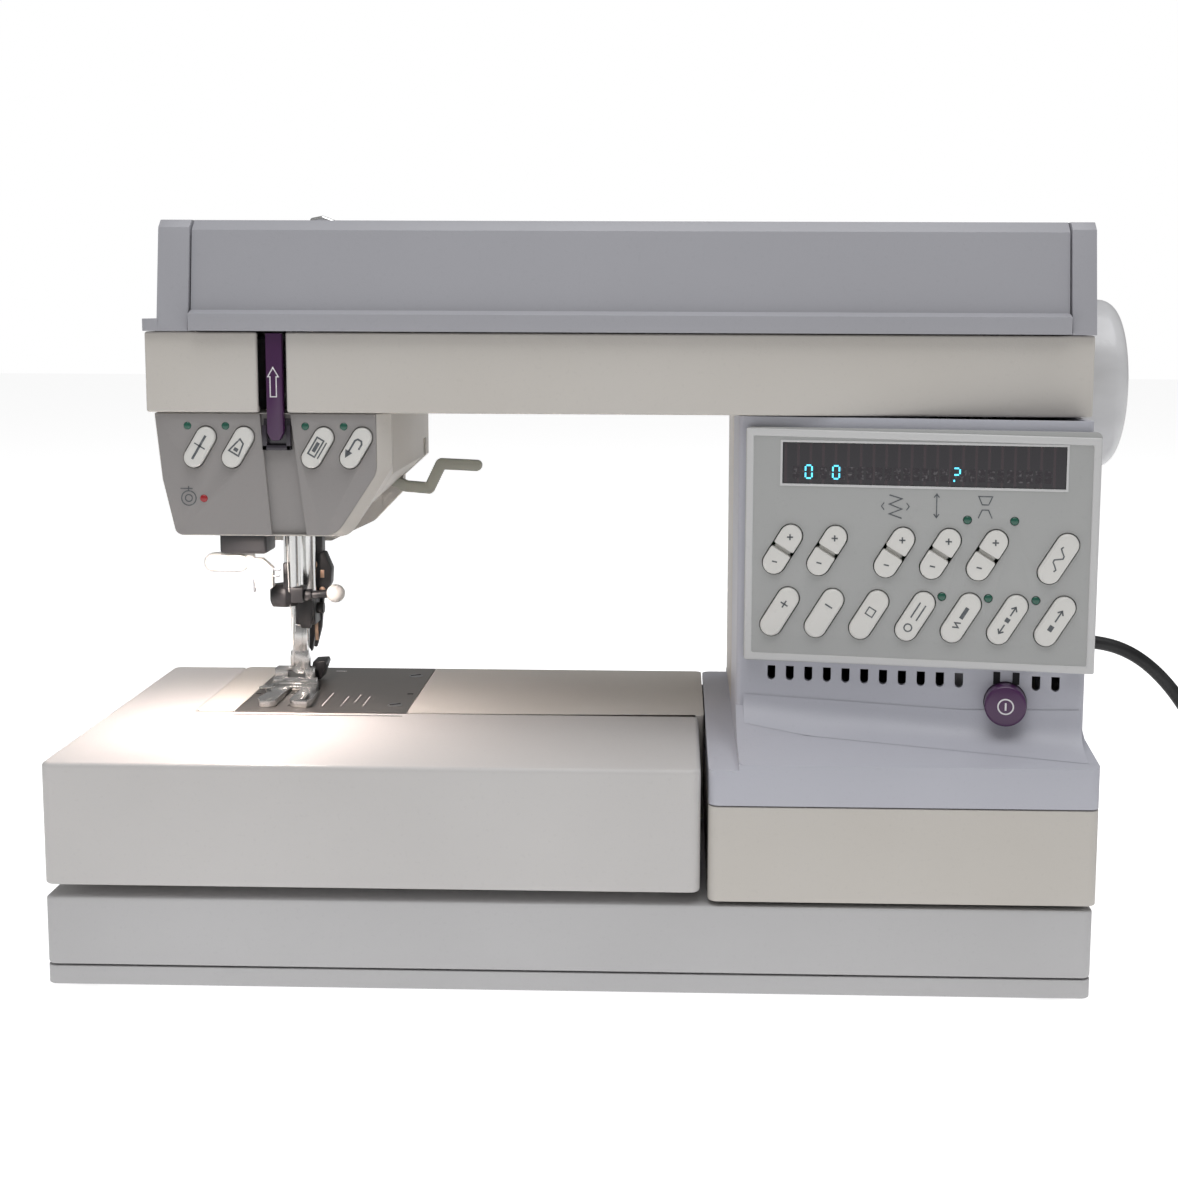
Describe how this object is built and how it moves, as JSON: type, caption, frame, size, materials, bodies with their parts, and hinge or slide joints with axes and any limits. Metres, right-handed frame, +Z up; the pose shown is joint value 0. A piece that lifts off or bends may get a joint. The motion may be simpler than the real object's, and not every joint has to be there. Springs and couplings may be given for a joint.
{
  "type": "sewing machine",
  "caption": "Free-arm household sewing machine with a slanted key panel, lift-up lid, handwheel, snap-off accessory tray and a mains lead that ends in a coil.",
  "frame": {"origin": "on the table, under the middle of the whole machine with its handwheel and without the lead", "axes": "+X to the handwheel, +Y to the back, +Z up; the front with the keys faces -Y"},
  "size_m": [0.6024, 0.178, 0.2965],
  "materials": {
    "shell_white": "fine spark texture",
    "housing_grey": "fine spark texture, lavender grey",
    "panel_grey": "satin, grey-green",
    "key_white": "satin",
    "display": "dark tinted window",
    "led": "tinted lens",
    "purple": "smooth",
    "wheel_white": "smooth",
    "plate_steel": "satin brushed",
    "bright_steel": "polished",
    "steel": "machined",
    "lever_grey": "satin paint",
    "casting": "as cast",
    "black_plastic": "satin",
    "rubber": "matte",
    "cord": "soft sheath",
    "board": "laminate",
    "motor": "painted"
  },
  "bodies": {
    "machine": {"base_plinth": "shell_white", "base_pan": "shell_white", "lower_housing": "shell_white", "free_arm_shell": "shell_white", "arm_front_cover": "shell_white", "rear_cover": "shell_white", "top_tray": "shell_white", "column_housing": "housing_grey", "lid_end_caps": "housing_grey", "panel_bezel": "panel_grey", "face_cover": "panel_grey", "display_window": "display", "indicator_leds": "led", "take_up_guide": "purple", "needle_plate": "plate_steel", "bobbin_case": "bright_steel", "cover_screws": "steel", "frame_casting": "casting", "cord_connector": "black_plastic", "mains_plug": "black_plastic", "rubber_feet": "rubber", "drive_belts": "rubber", "mains_cord": "cord", "cord_coil": "cord", "control_board": "board", "drive_motor": "motor"},
    "lid": {"lid": "housing_grey"},
    "main_shaft": {"upper_shaft": "steel", "handwheel": "wheel_white"},
    "low_shaft": {"lower_shaft": "steel"},
    "hook": {"rotary_hook": "steel"},
    "needle_bar": {"needle_bar": "bright_steel", "needle": "bright_steel", "needle_screw": "bright_steel"},
    "take_up_lever": {"take_up_lever": "bright_steel"},
    "lifter_lever": {"lifter_lever": "lever_grey"},
    "presser_bar": {"presser_bar": "steel"},
    "presser_foot": {"presser_foot": "bright_steel"},
    "feed_dog": {"feed_dog": "steel"},
    "dual_feed": {"dual_feed": "black_plastic"},
    "threader_lever": {"threader_lever": "shell_white"},
    "accessory_tray": {"accessory_tray": "shell_white"},
    "power_button": {"power_button": "purple"},
    "oval_key_1": {"oval_key_1": "key_white"},
    "oval_key_2": {"oval_key_2": "key_white"},
    "oval_key_3": {"oval_key_3": "key_white"},
    "oval_key_4": {"oval_key_4": "key_white"},
    "oval_key_5": {"oval_key_5": "key_white"},
    "oval_key_6": {"oval_key_6": "key_white"},
    "oval_key_7": {"oval_key_7": "key_white"},
    "display_key": {"display_key": "key_white"},
    "head_key_1": {"head_key_1": "key_white"},
    "head_key_2": {"head_key_2": "key_white"},
    "head_key_3": {"head_key_3": "key_white"},
    "head_key_4": {"head_key_4": "key_white"},
    "rocker_key_1": {"rocker_key_1": "key_white"},
    "rocker_key_2": {"rocker_key_2": "key_white"},
    "rocker_key_3": {"rocker_key_3": "key_white"},
    "rocker_key_4": {"rocker_key_4": "key_white"},
    "rocker_key_5": {"rocker_key_5": "key_white"}
  },
  "joints": [
    {"name": "lid_hinge", "type": "hinge", "parent": "machine", "child": "lid", "pos_m": [0, 0.075, 0.259], "axis": [1, 0, 0], "range_deg": [-90, 0]},
    {"name": "handwheel_turn", "type": "hinge", "parent": "machine", "child": "main_shaft", "pos_m": [0.1895, 0.033, 0.231], "axis": [1, 0, 0], "continuous": true},
    {"name": "lower_shaft_turn", "type": "hinge", "parent": "machine", "child": "low_shaft", "pos_m": [-0.0145, 0.0546, 0.0645], "axis": [1, 0, 0], "continuous": true},
    {"name": "hook_turn", "type": "hinge", "parent": "machine", "child": "hook", "pos_m": [-0.1595, 0.033, 0.0645], "axis": [1, 0, 0], "continuous": true},
    {"name": "needle_stroke", "type": "slide", "parent": "machine", "child": "needle_bar", "axis": [0, 0, 1], "range_m": [-0.03, 0]},
    {"name": "take_up_swing", "type": "hinge", "parent": "machine", "child": "take_up_lever", "pos_m": [-0.1318, -0.008, 0.238], "axis": [1, 0, 0], "range_deg": [0, 75]},
    {"name": "presser_lever_turn", "type": "hinge", "parent": "machine", "child": "lifter_lever", "pos_m": [-0.1185, 0.068, 0.19], "axis": [0, -1, 0], "range_deg": [0, 22]},
    {"name": "presser_lift", "type": "slide", "parent": "machine", "child": "presser_bar", "axis": [0, 0, 1], "range_m": [0, 0.0065]},
    {"name": "foot_tilt", "type": "hinge", "parent": "presser_bar", "child": "presser_foot", "pos_m": [-0.1415, 0.05, 0.0975], "axis": [-1, 0, 0], "range_deg": [0, 8]},
    {"name": "feed_stroke", "type": "slide", "parent": "machine", "child": "feed_dog", "axis": [0, 1, 0], "range_m": [-0.0025, 0.0025]},
    {"name": "dual_feed_swing", "type": "hinge", "parent": "machine", "child": "dual_feed", "pos_m": [-0.1315, 0.06, 0.166], "axis": [1, 0, 0], "range_deg": [0, 6]},
    {"name": "threader_drop", "type": "slide", "parent": "machine", "child": "threader_lever", "axis": [0, 0, -1], "range_m": [0, 0.018], "stiffness_N_per_m": 40, "springref_m": -0.01},
    {"name": "tray_pull", "type": "slide", "parent": "machine", "child": "accessory_tray", "axis": [-1, 0, 0], "range_m": [0, 0.28]},
    {"name": "power_press", "type": "slide", "parent": "machine", "child": "power_button", "axis": [0.1564, 0.9877, 0], "range_m": [0, 0.0015], "stiffness_N_per_m": 400, "springref_m": -0.001},
    {"name": "oval_key_1_press", "type": "slide", "parent": "machine", "child": "oval_key_1", "axis": [0.1564, 0.9877, 0], "range_m": [0, 0.0012], "stiffness_N_per_m": 300, "springref_m": -0.001},
    {"name": "oval_key_2_press", "type": "slide", "parent": "machine", "child": "oval_key_2", "axis": [0.1564, 0.9877, 0], "range_m": [0, 0.0012], "stiffness_N_per_m": 300, "springref_m": -0.001},
    {"name": "oval_key_3_press", "type": "slide", "parent": "machine", "child": "oval_key_3", "axis": [0.1564, 0.9877, 0], "range_m": [0, 0.0012], "stiffness_N_per_m": 300, "springref_m": -0.001},
    {"name": "oval_key_4_press", "type": "slide", "parent": "machine", "child": "oval_key_4", "axis": [0.1564, 0.9877, 0], "range_m": [0, 0.0012], "stiffness_N_per_m": 300, "springref_m": -0.001},
    {"name": "oval_key_5_press", "type": "slide", "parent": "machine", "child": "oval_key_5", "axis": [0.1564, 0.9877, 0], "range_m": [0, 0.0012], "stiffness_N_per_m": 300, "springref_m": -0.001},
    {"name": "oval_key_6_press", "type": "slide", "parent": "machine", "child": "oval_key_6", "axis": [0.1564, 0.9877, 0], "range_m": [0, 0.0012], "stiffness_N_per_m": 300, "springref_m": -0.001},
    {"name": "oval_key_7_press", "type": "slide", "parent": "machine", "child": "oval_key_7", "axis": [0.1564, 0.9877, 0], "range_m": [0, 0.0012], "stiffness_N_per_m": 300, "springref_m": -0.001},
    {"name": "display_key_press", "type": "slide", "parent": "machine", "child": "display_key", "axis": [0.1564, 0.9877, 0], "range_m": [0, 0.0012], "stiffness_N_per_m": 300, "springref_m": -0.001},
    {"name": "head_key_1_press", "type": "slide", "parent": "machine", "child": "head_key_1", "axis": [0, 1, 0], "range_m": [0, 0.0012], "stiffness_N_per_m": 300, "springref_m": -0.001},
    {"name": "head_key_2_press", "type": "slide", "parent": "machine", "child": "head_key_2", "axis": [0, 1, 0], "range_m": [0, 0.0012], "stiffness_N_per_m": 300, "springref_m": -0.001},
    {"name": "head_key_3_press", "type": "slide", "parent": "machine", "child": "head_key_3", "axis": [0, 1, 0], "range_m": [0, 0.0012], "stiffness_N_per_m": 300, "springref_m": -0.001},
    {"name": "head_key_4_press", "type": "slide", "parent": "machine", "child": "head_key_4", "axis": [0, 1, 0], "range_m": [0, 0.0012], "stiffness_N_per_m": 300, "springref_m": -0.001},
    {"name": "rocker_key_1_rock", "type": "hinge", "parent": "machine", "child": "rocker_key_1", "pos_m": [0.06912, -0.05045, 0.1692], "axis": [0.8466, -0.1341, -0.515], "range_deg": [-4, 4], "stiffness_Nm_per_rad": 0.05},
    {"name": "rocker_key_2_rock", "type": "hinge", "parent": "machine", "child": "rocker_key_2", "pos_m": [0.08631, -0.05317, 0.1692], "axis": [0.8466, -0.1341, -0.515], "range_deg": [-4, 4], "stiffness_Nm_per_rad": 0.05},
    {"name": "rocker_key_3_rock", "type": "hinge", "parent": "machine", "child": "rocker_key_3", "pos_m": [0.11199, -0.05724, 0.1692], "axis": [0.8466, -0.1341, -0.515], "range_deg": [-4, 4], "stiffness_Nm_per_rad": 0.05},
    {"name": "rocker_key_4_rock", "type": "hinge", "parent": "machine", "child": "rocker_key_4", "pos_m": [0.12937, -0.05999, 0.1692], "axis": [0.8466, -0.1341, -0.515], "range_deg": [-4, 4], "stiffness_Nm_per_rad": 0.05},
    {"name": "rocker_key_5_rock", "type": "hinge", "parent": "machine", "child": "rocker_key_5", "pos_m": [0.14685, -0.06276, 0.1692], "axis": [0.8466, -0.1341, -0.515], "range_deg": [-4, 4], "stiffness_Nm_per_rad": 0.05}
  ],
  "couplings": [
    {"joint": "lower_shaft_turn", "follows": "handwheel_turn", "ratio": 1},
    {"joint": "hook_turn", "follows": "handwheel_turn", "ratio": -2},
    {"joint": "presser_lever_turn", "follows": "presser_lift", "rad_per_m": 59.073}
  ]
}
